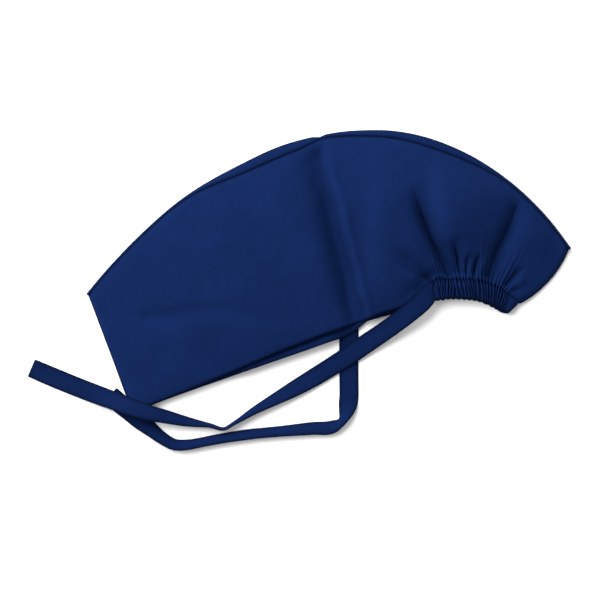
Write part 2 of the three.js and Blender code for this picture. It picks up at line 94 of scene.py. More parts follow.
# How far the crown strip shows inside the outline: (distance round the crown, width).
STRIP_SHOWS = (
    (0, 1.6), (50, 1.6), (80, 1.5), (97, 1.8), (117, 4.2), (134, 6.4), (151, 7.1), (167, 7.5),
    (181.6, 5.9), (187.4, 4.4), (190.9, 3.6), (193.3, 1.9), (200, 2.2), (212, 3.6), (236, 4.6),
    (270, 6.2), (280, 5.9), (298, 5.3), (308, 4.0), (318, 3.0), (334, 1.8), (400, 1.6),
)
STRIP_STEP = 188  # this far round the crown the strip's width steps sharply, and elsewhere it changes evenly
CROWN_NOTCH = {"x": 13, "depth": 1.0, "half": 3.0}

# How far the right panel's brim shows below the left one's: (x, drop).
FAR_DROP = (
    (-120, 0.2), (-104, 0.3), (-77, 1.0), (-42, 3.2), (-8, 5.8), (20, 6.6), (30, 6.4), (41, 3.3), (45, 1.5),
    (50, 1.9), (57, 2.5), (66, 2.6), (78, 1.6), (87, 0.6), (90, -0.3), (94, -0.5), (118, -0.2), (128, 0.7),
    (140, 1.2), (150, 0.4),
)

# The casing's hem: (section, x, y, z).
HEM = (
    ("tie_joint", 92.2, -4.8, 8.6), ("fold_a", 101.0, -3.3, 9.1), ("pouch", 115.0, -3.7, 9.0),
    ("fold_b", 126.0, -5.6, 8.3), ("nape", 134.6, -9.0, 7.4), ("centre_back", 141.0, -12.4, 6.6),
)
# Where the casing turns over at the centre back, how far it bulges there, and how the run below lies.
TURN = {"from": 0.74, "reach": 2.0, "lower": 1.25, "backX": -0.6, "backY": -2.0, "frontY": -0.2}

# Folds of the left panel, each a valley with a raised roll on its right: its depth, the widths of its two flanks,
# how sharp it is, the roll's height and distance, how much it spreads and fades to its tip, and its line from root
# to tip.
FOLDS = {
    "crease": (
        10.4, 8.4, 4.4, 0.1, 1.8, 6.2, 0.15, 0.6,
        ((43.0, -26.0), (39.6, -12.5), (36.9, -5.5), (32.2, 15.0),
         (26.5, 35.7), (21.8, 56.1), (15.6, 76.5), (11.6, 98.3)),
    ),
    "fold_a": (
        12.6, 3.2, 7.0, 0.85, 0.6, 9.0, 0.7, 1.0,
        ((101.0, 11.0), (97.5, 19.6), (90.2, 33.5), (83.0, 51.3), (78.4, 64.0), (75.2, 76.0)),
    ),
    "fold_c": (6.8, 2.0, 2.2, 0.85, 0.8, 4.0, 1.0, 1.0, ((107.9, 10.4), (106.6, 23.5), (102.3, 38))),
    "fold_d": (4.6, 1.5, 1.4, 0.8, 0.5, 2.6, 0.8, 1.0, ((112.2, 10), (112.8, 20), (114.2, 28.4))),
    "fold_e": (4.8, 1.6, 1.6, 0.8, 0.5, 2.8, 0.8, 1.0, ((117.2, 10), (118.6, 18), (121.7, 28.4))),
    "fold_b": (
        10.4, 4.0, 4.8, 0.9, 0.4, 9.0, 0.6, 0.6,
        ((128.5, 9.0), (134.0, 28.4), (141.2, 42.5), (150.0, 66.5)),
    ),
    "fold_f": (
        3.6, 2.4, 2.2, 0.7, 1.0, 4.0, 0.8, 1.0,
        ((137.8, 3.4), (144.2, 10.1), (147.6, 14.3), (154.4, 16.7)),
    ),
    "fold_g": (2.4, 1.6, 1.6, 0.7, 0.6, 3.0, 0.8, 1.0, ((139.4, -0.4), (142.5, 1.2), (152, 3.3))),
    "fold_h": (3.2, 3.0, 3.2, 0.4, 0.6, 6.0, 0.8, 1.0, ((91.4, 6.9), (81.3, 16), (71.1, 23.5), (55.8, 29.7))),
    "fold_i": (2.0, 2.2, 2.4, 0.5, 0.4, 4.0, 0.8, 1.0, ((88.0, 8.5), (80.0, 12.5), (70.0, 17.5), (58.0, 21.5))),
    "tie_dip": (
        1.8, 4.2, 4.2, 0.2, 0.0, 6.0, 0.3, 0.8,
        ((88.4, 11.2), (79.0, 3.5), (71.1, -2.4), (64.6, -7.5)),
    ),
    "front_wrinkle": (
        1.0, 4.5, 5.0, 0.0, 0.3, 10.0, 0.2, 0.5,
        ((-103.4, -16), (-81.6, -13.3), (-54.1, -10.3), (-10.5, -17.6)),
    ),
}
# Broad swells: (x, y, rise, reach to the left, to the right, and up and down).
SWELLS = (
    (102, 56, 6.6, 11, 32, 24), (-42, 38, 0.7, 30, 30, 24), (42, 45, -1.3, 8, 8, 34), (58, 50, 0.8, 12, 16, 40),
    (160, 36, 0.8, 14, 14, 16), (-89, -21, -1.0, 13, 13, 7),
)

# The ties from the casing to the free end: (x, y, roll, lift, skew). Roll raises the outer edge.
LEFT_TIE = (
    (90.5, 1.7, 0, 8.25, -35), (87.4, -1.2, 0, 9.4, -14), (82.3, -6.7, 0, 10.1, 0), (72.4, -15.0, 0, 9.1, 0),
    (58.3, -25.5, 0, 5.6, 0), (43.9, -35.4, 0, 3.0, 0), (31.4, -43.9, 0, 1.7, 0), (15.3, -54.2, 12, 0.4, 0),
    (-1.1, -63.8, 30, 0, 0), (-16.8, -72.4, 51, 0, 0), (-32.2, -80.9, 68, 0, 0), (-44.0, -88.4, 80, 0, 0),
    (-52.0, -92.7, 82, 0, 0), (-60.5, -90.5, 79, 0, 0), (-76.8, -87.6, 61, 0.3, 0), (-90.0, -84.4, 48, 3.2, 0),
    (-102.3, -81.4, 37, 6.1, 0), (-115.0, -77.4, 26, 5.9, 0), (-129.4, -72.4, 15, 2.3, 0), (-145.0, -66.7, 9, 0.4, 0),
    (-160.0, -60.8, 4, 0, 0), (-182.4, -51.4, 0, 0, 0),
)
RIGHT_TIE = (
    (90.3, 0.2, 0, 0.25, -5), (84.0, -1.4, 0, 0, 0), (75.0, -3.0, 0, 0, 0), (63.0, -4.0, 0, 0, 0),
    (52.0, -4.4, 0, 0, 0), (43.0, -6.8, 0, 0, 0), (36.6, -12.6, 0, 0, 0), (33.8, -20.5, 0, 0, 0),
    (33.3, -30.0, 0, 0, 0), (33.2, -44.0, 0, 0, 0), (33.2, -60.0, 0, 0, 0), (32.9, -74.0, 6, 0, 0),
    (31.3, -81.2, 40, 0, 0), (28.6, -87.4, 65, 0, 0), (22.8, -91.0, 49, 0, 0), (8.0, -92.3, 50, 0, 0),
    (-12.8, -94.2, 58, 0, 0), (-33.6, -96.2, 59, 0, 0), (-54.4, -99.3, 60, 0, 0), (-66.4, -101.6, 61, 0, 0),
    (-76.0, -103.3, 58, 0, 0), (-85.5, -103.2, 55, 0, 0), (-92.5, -99.5, 52, 0, 0), (-103.7, -90.8, 34, 0, 0),
    (-112.5, -83.5, 2, 0, 0), (-122.4, -75.5, 0, 0, 0), (-128.8, -70.0, 0, 0, 0),
)

# ---------------------------------------------------------------- small maths


def mix(a, b, t):
    return a + (b - a) * t


def smooth(t):
    k = np.clip(t, 0, 1)
    return k * k * (3 - 2 * k)


def edge(d, r):
    return 1 - np.exp(-np.maximum(0, d) / r)


def bell(d, w):
    return np.exp(-((d / w) ** 2))


def along(places):
    p = np.asarray(places, float)[:, :2]
    return np.concatenate([[0], np.cumsum(np.hypot(*np.diff(p, axis=0).T))])


def curve(at, values, s):
    """A smooth curve through the values, the same as the frame's."""
    at, v, s = np.asarray(at, float), np.asarray(values, float), np.asarray(s, float)
    slope = np.diff(v) / np.diff(at)
    back, ahead = np.diff(at)[:-1], np.diff(at)[1:]
    tangent = np.concatenate([[slope[0]], (ahead * slope[:-1] + back * slope[1:]) / (back + ahead), [slope[-1]]])
    k = np.clip(np.searchsorted(at, s, side="left") - 1, 0, len(at) - 2)
    h = at[k + 1] - at[k]
    t = np.clip((s - at[k]) / h, 0, 1)
    return (
        (2 * t**3 - 3 * t**2 + 1) * v[k] + (t**3 - 2 * t**2 + t) * h * tangent[k]
        + (-2 * t**3 + 3 * t**2) * v[k + 1] + (t**3 - t**2) * h * tangent[k + 1]
    )


def nearest(line, x, y):
    """How far x, y are from a line, how far along it from 0 to 1, and on which side: +1 is left of its run."""
    at = along(line)
    far, share, side = np.full(np.shape(x), 1e9), np.zeros(np.shape(x)), np.ones(np.shape(x))
    for k in range(len(line) - 1):
        (ax, ay), (bx, by) = line[k][:2], line[k + 1][:2]
        ux, uy = bx - ax, by - ay
        t = np.clip(((x - ax) * ux + (y - ay) * uy) / (ux * ux + uy * uy), 0, 1)
        d = np.hypot(x - ax - ux * t, y - ay - uy * t)
        closer = d < far
        far = np.where(closer, d, far)
        share = np.where(closer, mix(at[k], at[k + 1], t) / at[-1], share)
        side = np.where(closer, np.where(ux * (y - ay) - uy * (x - ax) >= 0, 1.0, -1.0), side)
    return far, share, side


def no_lower(z, lowest, roundness):
    """z, kept above the lowest, with a rounded bottom."""
    return (z + lowest + np.sqrt((z - lowest) ** 2 + roundness)) / 2


def run_along(mid, axis):
    """How far each point of a grid is from its first row along an axis."""
    step = np.linalg.norm(np.diff(mid, axis=axis), axis=2)
    return np.concatenate([np.zeros_like(step.take([0], axis=axis)), np.cumsum(step, axis=axis)], axis=axis)


def crumple(x, y, seed, shortest, longest, waves=16):
    """A gentle unevenness, from -1 to 1 or so, with waves between two lengths in mm."""
    r = np.random.default_rng(seed)
    total = np.zeros(np.shape(x))
    for _ in range(waves):
        length, way, start = r.uniform(shortest, longest), r.uniform(0, 2 * math.pi), r.uniform(0, 2 * math.pi)
        total = total + np.cos(2 * math.pi * (x * math.cos(way) + y * math.sin(way)) / length + start)
    return total / math.sqrt(waves)


# ---------------------------------------------------------------- the plan of the cap
ROWS = np.array(list(SECTIONS.values()), float)
NAMES = list(SECTIONS)
CROWN_AT = along(ROWS[:, 2:4])
ROUND = CROWN_AT[-1]


def section(key, s):
    return curve(CROWN_AT, ROWS[:, SECTION_KEYS.index(key)], s)


def station(name):
    return CROWN_AT[NAMES.index(name)]


def strip_shows(s):
    at, width = np.transpose(STRIP_SHOWS)
    sharp, even = (sum(np.interp(s + k * r, at, width) for k in (-1, -0.5, 0, 0.5, 1)) / 5 for r in (1.4, 9.0))
    return mix(sharp, even, smooth((np.abs(s - STRIP_STEP) - 8) / 10))


def outline(s):
    x = section("crownX", s)
    y = section("crownY", s) - CROWN_NOTCH["depth"] * bell(x - CROWN_NOTCH["x"], CROWN_NOTCH["half"])
    dx = section("crownX", s + 0.5) - section("crownX", s - 0.5)
    dy = section("crownY", s + 0.5) - section("crownY", s - 0.5)
    size = np.hypot(dx, dy)
    return x, y, -dy / size, dx / size


def plan(s, t, inset, drop):
    """A place on a panel, t = 0 at the brim and 1 at the crown seam, and the section's length."""
    cx, cy, ox, oy = outline(s)
    bx, by = section("brimX", s), section("brimY", s) - drop
    sx, sy = cx - inset * ox, cy - inset * oy
    size = np.hypot(sx - bx, sy - by)
    swell = section("bow", s) * 4 * t * (1 - t) / size
    return mix(bx, sx, t) + swell * (sy - by), mix(by, sy, t) - swell * (sx - bx), size


def off_line(row, x, y):
    """How far x, y are from the line of a section."""
    ux, uy = row[2] - row[0], row[3] - row[1]
    return np.abs(ux * (y - row[1]) - uy * (x - row[0])) / math.hypot(ux, uy)


CASING_FROM, CASING_TO = station("tie_joint"), mix(station("nape"), ROUND, TURN["from"])
_fine = np.linspace(CASING_FROM, CASING_TO, 400)
_fine_run = along(np.stack([section("brimX", _fine), section("brimY", _fine)], axis=1))


def over_casing(s):
    return (s > CASING_FROM) * (s < CASING_TO)


def hemmed(s, t, size):
    """1 where the open brim is hemmed; over the casing it isn't."""
    return smooth((HEM_DEEP - t * size) / 1.2) * (s < CASING_FROM)


def brim_share(s):
    """How far along the casing's near run a section stands, from 0 at the tie to 1 at the turn."""
    return np.interp(s, _fine, _fine_run / _fine_run[-1])


def at_share(share):
    return np.interp(share, _fine_run / _fine_run[-1], _fine)


# The ruffles' own widths vary, and so does how far each runs up into the panel.
_pleats = np.random.default_rng(11)
PLEAT_EDGE = np.concatenate([[0], np.cumsum(_pleats.uniform(0.65, 1.4, RUFFLES))])
PLEAT_EDGE = PLEAT_EDGE / PLEAT_EDGE[-1]
PLEAT_HEIGHT = _pleats.uniform(0.65, 1.25, RUFFLES + 1)
PLEAT_REACH = _pleats.uniform(3.5, 10.5, RUFFLES + 1)


def ruffle(share):
    """The puff of the ruffle that stands at a share of the casing's near run: 0 in a tuck and 1 on a crest."""
    phase = np.interp(share, PLEAT_EDGE, np.arange(RUFFLES + 1))
    k = np.clip(phase.astype(int), 0, RUFFLES - 1)
    puff = np.abs(np.sin(math.pi * phase)) ** 0.8
    calm = smooth(share * 16) * smooth((0.97 - share) * 7)
    return (puff - 0.5) * PLEAT_HEIGHT[k] * calm, PLEAT_REACH[k]


def fold_height(x, y):
    z = np.zeros(np.shape(x))
    for depth, before, after, sharp, roll, roll_at, spread, fade, line in FOLDS.values():
        far, share, side = nearest(line, x, y)
        grown, strength = 1 + spread * share, 1 - fade * smooth(share * 2 - 1)
        flank = np.where(side > 0, before, after) * grown
        z = z - depth * strength * mix(bell(far, flank), np.exp(-far / (0.8 * flank)), sharp)
        z = z + np.where(side < 0, roll * strength * bell(far - roll_at * grown, roll_at * 0.55 * grown), 0)
    for sx, sy, rise, left, right, tall in SWELLS:
        reach = mix(left, right, smooth((x - sx) / (left + right) + 0.5))
        z = z + rise * np.exp(-(((x - sx) / reach) ** 2) - ((y - sy) / tall) ** 2)
    return z


def left_height(s, t, x, y, size):
    midway = smooth(s / 90) * smooth((CASING_FROM - s) / 60)
    seam, brim = section("seamZ", s) + SEAM_RISE, section("brimZ", s) + BRIM_RISE * midway
    d_brim, d_crown = t * size, (1 - t) * size
    front, back = off_line(ROWS[0], x, y), off_line(ROWS[-1], x, y)
    puff_up = section("puff", s) - PUFF_LESS - PUFF_LESS_MIDWAY * midway
    puff_up = puff_up * edge(front + 1, PUFF_REACH["front"]) * edge(d_crown, PUFF_REACH["crown"])
    pillow = seam + puff_up * edge(back + 1.2, PUFF_REACH["back"])
    # the folds start faint at the brim, and end before the crown seam and the centre back
    gathered = over_casing(s)
    at_casing, at_brim = mix(FOLD_AT_CASING, 1, smooth((d_brim - 0.8) / 4)), mix(FOLD_AT_BRIM, 1, smooth(d_brim / 7))
    inside = np.where(gathered, at_casing, at_brim) * smooth(d_crown / 12) * smooth(back / 10)
    z = mix(brim, pillow, edge(d_brim, PUFF_REACH["brim"])) + fold_height(x, y) * inside
    z = no_lower(z, LOWEST, LOWEST_ROUND)
    # gathers stand up out of the casing's top seam
    puff, reach = ruffle(brim_share(s))
    z = z + (RUFFLE_RISE * puff + 0.1) * np.exp(-d_brim / reach) * gathered
    # the plain cloth is a little uneven, and puckers along the crown seam
    z = z + UNEVEN * crumple(x, y, 3, 18, 60) * inside + UNEVEN_FINE * crumple(x, y, 4, 7, 16) * inside
    z = z + PUCKER * np.sin(s / 1.9 + 2.2 * np.sin(s / 17)) * np.exp(-d_crown / 4)
    # the rims turn down into the seam and over the brim
    z = z - 0.7 * np.exp(-d_crown / 1.3) - 0.35 * np.exp(-d_brim / 1.2) * (s < CASING_FROM)
    # and round the centre front and centre back, down to the right panel
    far_top = right_height(s, t, x, y, size) + PANEL_WALL + 0.25
    step = np.hypot(np.diff(x, axis=0), np.diff(y, axis=0))
    to_back = np.concatenate([np.cumsum(step[::-1], axis=0)[::-1], np.zeros_like(step[:1])])
    for off, turn in ((front, FRONT_TURN), (to_back, BACK_TURN)):
        z = mix(z, np.minimum(z, far_top), np.exp(-((off / turn) ** 2)))
    return z


# where the right tie lies below the right panel: its run from the casing, and its tip
UNDER_TIE = [r[:2] for r in RIGHT_TIE if r[0] > 30 and r[1] > -45]
UNDER_TIP = [r[:2] for r in RIGHT_TIE if r[0] < -100]


def right_height(s, t, x, y, size):
    over_run = 1 - smooth((nearest(UNDER_TIE, x, y)[0] - 8) / 15)
    over_tip = 1 - smooth((nearest(UNDER_TIP, x, y)[0] - 8) / 14)
    back = 1 - smooth(np.hypot(x - ROWS[-1][0], y - ROWS[-1][1]) / 26)
    at = section("brimX", s)
    curl = smooth((at - FAR_LIFT["from"]) / 40) * smooth((FAR_LIFT["to"] - at) / 16)
    curl = curl * np.exp(-t * size / FAR_LIFT["reach"])
    return TABLE_MID + TIE_BUMP * np.maximum(over_run, over_tip) + BACK_RISE * back + FAR_LIFT["rise"] * curl


# ---------------------------------------------------------------- making cloth
SHIFT = np.array([0.438, -1.327, 0.0])  # the plan above to the frame, whose origin is the middle of the whole


def normals_of(mid):
    u = np.gradient(mid, axis=0)
    v = np.gradient(mid, axis=1)
    n = np.cross(u, v)
    return n / np.maximum(np.linalg.norm(n, axis=2, keepdims=True), 1e-9)


def rim_shade_mask(mid, reach=0.9):
    """Where painted shade runs along the rim of a sheet: 1 at the rim, fading inside it."""
    far = np.full(mid.shape[:2], 1e9)
    for axis in (0, 1):
        run = run_along(mid, axis)
        far = np.minimum(far, np.minimum(run, run.take([-1], axis=axis) - run))
    return np.exp(-((far / reach) ** 2))


RIM_OUT, RIM_DRAW, RIM_EASE = 0.7, 0.72, 0.25  # how round a sheet's rim is


def cloth(name, mid, up, down, uv, material, replaced, calm=None, painted_shade=None):
    """A closed sheet round the middle surface mid[i, j], up and down its two sides, with a rounded rim.

    Its sides stand off along the normals of calm, where the middle is ruffled more tightly than it is thick."""
    n = normals_of(mid if calm is None else calm)
    # painted shade along the rim, unless the piece gives its own
    painted_shade = rim_shade_mask(mid) if painted_shade is None else painted_shade
    up = np.broadcast_to(np.asarray(up, float), mid.shape[:2])[..., None]
    down = np.broadcast_to(np.asarray(down, float), mid.shape[:2])[..., None]
    rows, cols = mid.shape[0], mid.shape[1]
    outer, inner = mid + n * up, mid - n * down
    rim = [(i, 0) for i in range(rows)] + [(rows - 1, j) for j in range(1, cols)]
    rim += [(i, cols - 1) for i in range(rows - 2, -1, -1)] + [(0, j) for j in range(cols - 2, 0, -1)]
    ri, rj = np.array(rim).T
    inward_i, inward_j = np.clip(ri, 1, rows - 2), np.clip(rj, 1, cols - 2)
    away = mid[ri, rj] - mid[inward_i, inward_j]
    away = away / np.maximum(np.linalg.norm(away, axis=1, keepdims=True), 1e-9)
    half = (up[ri, rj] + down[ri, rj]) / 2
    middle = (outer[ri, rj] + inner[ri, rj]) / 2 + away * half * RIM_OUT
    # the two sides draw in a little at the rim, so that it turns softly
    outer, inner = outer.copy(), inner.copy()
    centre = (outer[ri, rj] + inner[ri, rj]) / 2
    outer[ri, rj] = centre + (outer[ri, rj] - centre) * RIM_DRAW + away * half * RIM_EASE
    inner[ri, rj] = centre + (inner[ri, rj] - centre) * RIM_DRAW + away * half * RIM_EASE
    points = np.concatenate([outer.reshape(-1, 3), inner.reshape(-1, 3), middle])
    index = np.arange(rows * cols).reshape(rows, cols)
    a, b, c, d = index[:-1, :-1], index[1:, :-1], index[1:, 1:], index[:-1, 1:]
    top = np.stack([a, b, c, d], axis=-1).reshape(-1, 4)
    low = rows * cols
    bottom = top[:, ::-1] + low
    o, w = index[ri, rj], index[ri, rj] + low
    m = 2 * low + np.arange(len(ri))
    o2, w2, m2 = np.roll(o, -1), np.roll(w, -1), np.roll(m, -1)
    sides = np.concatenate([np.stack([o, m, m2, o2], axis=1), np.stack([m, w, w2, m2], axis=1)])
    faces = np.concatenate([top, bottom, sides])
    mesh = bpy.data.meshes.new(name)
    mesh.vertices.add(len(points))
    mesh.vertices.foreach_set("co", ((points + SHIFT) * MM).astype(np.float32).ravel())
    mesh.loops.add(faces.size)
    mesh.loops.foreach_set("vertex_index", faces.astype(np.int32).ravel())
    mesh.polygons.add(len(faces))
    mesh.polygons.foreach_set("loop_start", np.arange(0, faces.size, 4, dtype=np.int32))
    mesh.update(calc_edges=True)
    mesh.validate()
    flat = uv.reshape(-1, 2)
    per_point = np.concatenate([flat, flat, flat[index[ri, rj]]])
    layer = mesh.uv_layers.new(name="Cloth")
    layer.uv.foreach_set("vector", (per_point[faces.ravel()] * MM).astype(np.float32).ravel())
    # the painted shade goes to the material as an attribute
    shade_attribute = mesh.attributes.new("Rim", "FLOAT", "POINT")
    shade_attribute.data.foreach_set("value", np.concatenate([painted_shade.ravel(), painted_shade.ravel(), painted_shade[ri, rj]]).astype(np.float32))
    mesh.shade_smooth()
    mesh.materials.append(material)
    piece = bpy.data.objects.new(name, mesh)
    bpy.context.scene.collection.objects.link(piece)
    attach(piece, "root")
    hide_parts(replaced)
    return piece


def stations(share, least=2):
    """Places round the crown, share times as many as the sections name."""
    out = []
    for k in range(len(ROWS) - 1):
        n = max(least, round(ROWS[k][SECTION_KEYS.index("cells")] * share))
        step = np.arange(n) / n
        # closer together where the cloth turns round the front and the back
        step = step**1.6 if k == 0 else 1 - (1 - step) ** 1.4 if k == len(ROWS) - 2 else step
        out.extend(mix(CROWN_AT[k], CROWN_AT[k + 1], step))
    return np.array(out + [ROUND])


# ---------------------------------------------------------------- shader groups
def group_tree(name, inputs, outputs):
    """A shader node group with named inputs (name, kind, value) and outputs (name, kind)."""
    tree = bpy.data.node_groups.new(name, "ShaderNodeTree")
    for label, kind, value in inputs:
        socket = tree.interface.new_socket(name=label, in_out="INPUT", socket_type=kind)
        if value is not None:
            socket.default_value = value
    for label, kind in outputs:
        tree.interface.new_socket(name=label, in_out="OUTPUT", socket_type=kind)
    return tree, tree.nodes.new("NodeGroupInput").outputs, tree.nodes.new("NodeGroupOutput").inputs


def put(socket, value):
    if isinstance(value, bpy.types.NodeSocket):
        socket.id_data.links.new(value, socket)
    else:
        socket.default_value = value


def math_node(tree, operation, *values, clamp=False):
    node = tree.nodes.new("ShaderNodeMath")
    node.operation, node.use_clamp = operation, clamp
    for k, value in enumerate(values):
        put(node.inputs[k], value)
    return node.outputs[0]


def remap(tree, value, low, high, to_low, to_high):
    node = tree.nodes.new("ShaderNodeMapRange")
    for k, v in enumerate((value, low, high, to_low, to_high)):
        put(node.inputs[k], v)
    return node.outputs[0]


def noise(tree, vector, scale, detail=2.0, roughness=0.5):
    node = tree.nodes.new("ShaderNodeTexNoise")
    for key, value in (("Vector", vector), ("Scale", scale), ("Detail", detail), ("Roughness", roughness)):
        put(node.inputs[key], value)
    return node.outputs[0]


def plain_weave():
    """Threads crossing over and under: how high the cloth stands, and the gaps between threads, darkened with painted
    shade.
    """
    tree, given, made = group_tree(
        "plain_weave",
        [("Cloth", "NodeSocketVector", None), ("Threads per metre", "NodeSocketFloat", 1 / (THREAD_PITCH * MM))],
        [("Height", "NodeSocketFloat"), ("Gap shade", "NodeSocketFloat")],
    )
    split = tree.nodes.new("ShaderNodeSeparateXYZ")
    put(split.inputs[0], given["Cloth"])
    u, v = (math_node(tree, "MULTIPLY", place, given["Threads per metre"]) for place in split.outputs[:2])
    across, down = (
        math_node(tree, "ABSOLUTE", math_node(tree, "SINE", math_node(tree, "MULTIPLY", place, math.pi)))
        for place in (u, v)
    )
    cell = math_node(tree, "ADD", math_node(tree, "FLOOR", u), math_node(tree, "FLOOR", v))
    over = math_node(tree, "FLOORED_MODULO", cell, 2.0)
    under = math_node(tree, "SUBTRACT", 1.0, over)
    heights = []
    for wide, long, mine, other in ((across, down, over, under), (down, across, under, over)):
        rounded = math_node(tree, "POWER", wide, 0.6)
        thread = math_node(tree, "MULTIPLY", rounded, math_node(tree, "MULTIPLY_ADD", long, mine, other))
        heights.append(math_node(tree, "MULTIPLY", thread, mine))
    put(made["Height"], math_node(tree, "ADD", *heights))
    put(made["Gap shade"], math_node(tree, "SUBTRACT", 1.0, math_node(tree, "MAXIMUM", across, down), clamp=True))
    return tree


def cloth_variation():
    """How a dyed cloth varies: cloudy patches, fine flecks along the threads, and small soft dents."""
    tree, given, made = group_tree(
        "cloth_variation",
        [
            ("Place", "NodeSocketVector", None), ("Cloth", "NodeSocketVector", None),
            ("Patch size", "NodeSocketFloat", 0.022),
        ],
        [("Patches", "NodeSocketFloat"), ("Flecks", "NodeSocketFloat"), ("Dents", "NodeSocketFloat")],
    )
    per_metre = math_node(tree, "DIVIDE", 1.0, given["Patch size"])
    put(made["Patches"], noise(tree, given["Place"], per_metre, 3.0, 0.55))
    stretch = tree.nodes.new("ShaderNodeMapping")
    put(stretch.inputs["Vector"], given["Cloth"])
    stretch.inputs["Scale"].default_value = (2.2, 0.6, 1.0)
    put(made["Flecks"], noise(tree, stretch.outputs[0], 900.0, 2.0, 0.6))
    put(made["Dents"], noise(tree, given["Place"], math_node(tree, "MULTIPLY", per_metre, 4.0), 2.0, 0.5))
    return tree


def wear_and_painted_light():
    """Where washing has paled the crests, together with a painted highlight there, and painted shade in the hollows
    and along the rim.
    """
    tree, given, made = group_tree(
        "wear_and_painted_light",
        [
            ("Turn", "NodeSocketFloat", 0.5), ("Patches", "NodeSocketFloat", 0.5),
            ("Rim", "NodeSocketFloat", 0.0), ("Amount", "NodeSocketFloat", 1.0),
        ],
        [("Wear and painted highlight", "NodeSocketFloat"), ("Painted shade", "NodeSocketFloat")],
    )
    # crests get wear and a painted highlight; hollows and the rim get painted shade
    ridge = remap(tree, given["Turn"], 0.505, 0.56, 0.0, 1.0)
    hollow = remap(tree, given["Turn"], 0.497, 0.45, 0.0, 1.0)
    uneven = remap(tree, given["Patches"], 0.3, 0.7, 0.5, 1.0)
    worn_and_lit = math_node(tree, "MULTIPLY", ridge, uneven)
    put(made["Wear and painted highlight"], math_node(tree, "MULTIPLY", worn_and_lit, given["Amount"], clamp=True))
    hollow_shade = math_node(tree, "MULTIPLY", hollow, given["Amount"], clamp=True)
    put(made["Painted shade"], math_node(tree, "MAXIMUM", hollow_shade, given["Rim"]))
    return tree


WEAVE, VARIATION, WEAR_AND_PAINTED_LIGHT = plain_weave(), cloth_variation(), wear_and_painted_light()


def use(tree, group, **inputs):
    node = tree.nodes.new("ShaderNodeGroup")
    node.node_tree = group
    for key, value in inputs.items():
        put(node.inputs[key.replace("_", " ")], value)
    return node.outputs


def scaled(colour, k):
    return (*(min(1.0, c * k) for c in colour), 1.0)


def blend(tree, share, a, b):
    node = tree.nodes.new("ShaderNodeMix")
    node.data_type = "RGBA"
    put(node.inputs[0], share)
    put(node.inputs[6], a)
    put(node.inputs[7], b)
    return node.outputs[2]


def new_material(name):
    material = bpy.data.materials.new(name)
    material.use_nodes = True
    tree = material.node_tree
    shader = next(n for n in tree.nodes if n.type == "BSDF_PRINCIPLED")
    return material, tree, shader


# how light each mark on the cloth is, to the dye: the flecks are the yarn's own, the thread gaps, hollows and rims
# are painted shade, and the crests are wear with a painted highlight
FLECK_TINT, GAP_SHADE_TINT, WEAR_AND_HIGHLIGHT_TINT, PAINTED_SHADE_TINT = 1.16, 0.62, 1.3, 0.45


def navy_cloth(name, dye, patch=0.022, uneven=0.10, weave=0.05, painted_light_amount=0.5):
    """Matte plain-weave navy cloth: the size of its patches in metres, and the height of its weave in mm."""
    material, tree, shader = new_material(name)
    coordinates = tree.nodes.new("ShaderNodeTexCoord").outputs
    turn = tree.nodes.new("ShaderNodeNewGeometry").outputs["Pointiness"]
    varies = use(tree, VARIATION, Place=coordinates["Object"], Cloth=coordinates["UV"], Patch_size=patch)
    threads = use(tree, WEAVE, Cloth=coordinates["UV"])
    rim = tree.nodes.new("ShaderNodeAttribute")
    rim.attribute_name = "Rim"
    wear_and_light = use(tree, WEAR_AND_PAINTED_LIGHT, Turn=turn, Patches=varies["Patches"], Rim=rim.outputs["Fac"], Amount=painted_light_amount)
    cloudy = remap(tree, varies["Patches"], 0.3, 0.7, 0.0, 1.0)
    base = blend(tree, cloudy, scaled(dye, 1 - uneven), scaled(dye, 1 + uneven))
    base = blend(tree, remap(tree, varies["Flecks"], 0.35, 0.65, 0.0, 0.35), base, scaled(dye, FLECK_TINT))
    # painted shade in the gaps between threads
    base = blend(tree, math_node(tree, "MULTIPLY", threads["Gap shade"], 0.5), base, scaled(dye, GAP_SHADE_TINT))
    # wear and painted highlight on the crests
    base = blend(tree, math_node(tree, "MULTIPLY", wear_and_light["Wear and painted highlight"], 0.5), base, scaled(dye, WEAR_AND_HIGHLIGHT_TINT))
    # painted shade in the hollows and along the rims
    base = blend(tree, wear_and_light["Painted shade"], base, scaled(dye, PAINTED_SHADE_TINT))
    put(shader.inputs["Base Color"], base)
    put(shader.inputs["Roughness"], remap(tree, varies["Flecks"], 0.3, 0.7, 0.86, 0.95))
    put(shader.inputs["Specular IOR Level"], 0.016)
    put(shader.inputs["Sheen Weight"], 0.003)
    put(shader.inputs["Sheen Roughness"], 0.6)
    put(shader.inputs["Sheen Tint"], (0.35, 0.5, 1.0, 1.0))
    dents = tree.nodes.new("ShaderNodeBump")
    put(dents.inputs["Height"], varies["Dents"])
    put(dents.inputs["Strength"], 0.25)
    put(dents.inputs["Distance"], 0.0008)
    bump = tree.nodes.new("ShaderNodeBump")
    put(bump.inputs["Height"], threads["Height"])
    put(bump.inputs["Strength"], 0.5)
    put(bump.inputs["Distance"], weave * MM)
    put(bump.inputs["Normal"], dents.outputs[0])
    put(shader.inputs["Normal"], bump.outputs[0])
    return material


DYE = (0.0034, 0.0117, 0.0562)
PANEL_CLOTH = navy_cloth("navy_panel_cloth", DYE)
STRIP_CLOTH = navy_cloth("navy_crown_cloth", scaled(DYE, 0.95)[:3])
CASING_CLOTH = navy_cloth("navy_casing_cloth", scaled(DYE, 0.82)[:3], patch=0.012, painted_light_amount=0.8)
TIE_CLOTH = navy_cloth("navy_tie_tape", scaled(DYE, 0.80)[:3], patch=0.016, painted_light_amount=0.6)


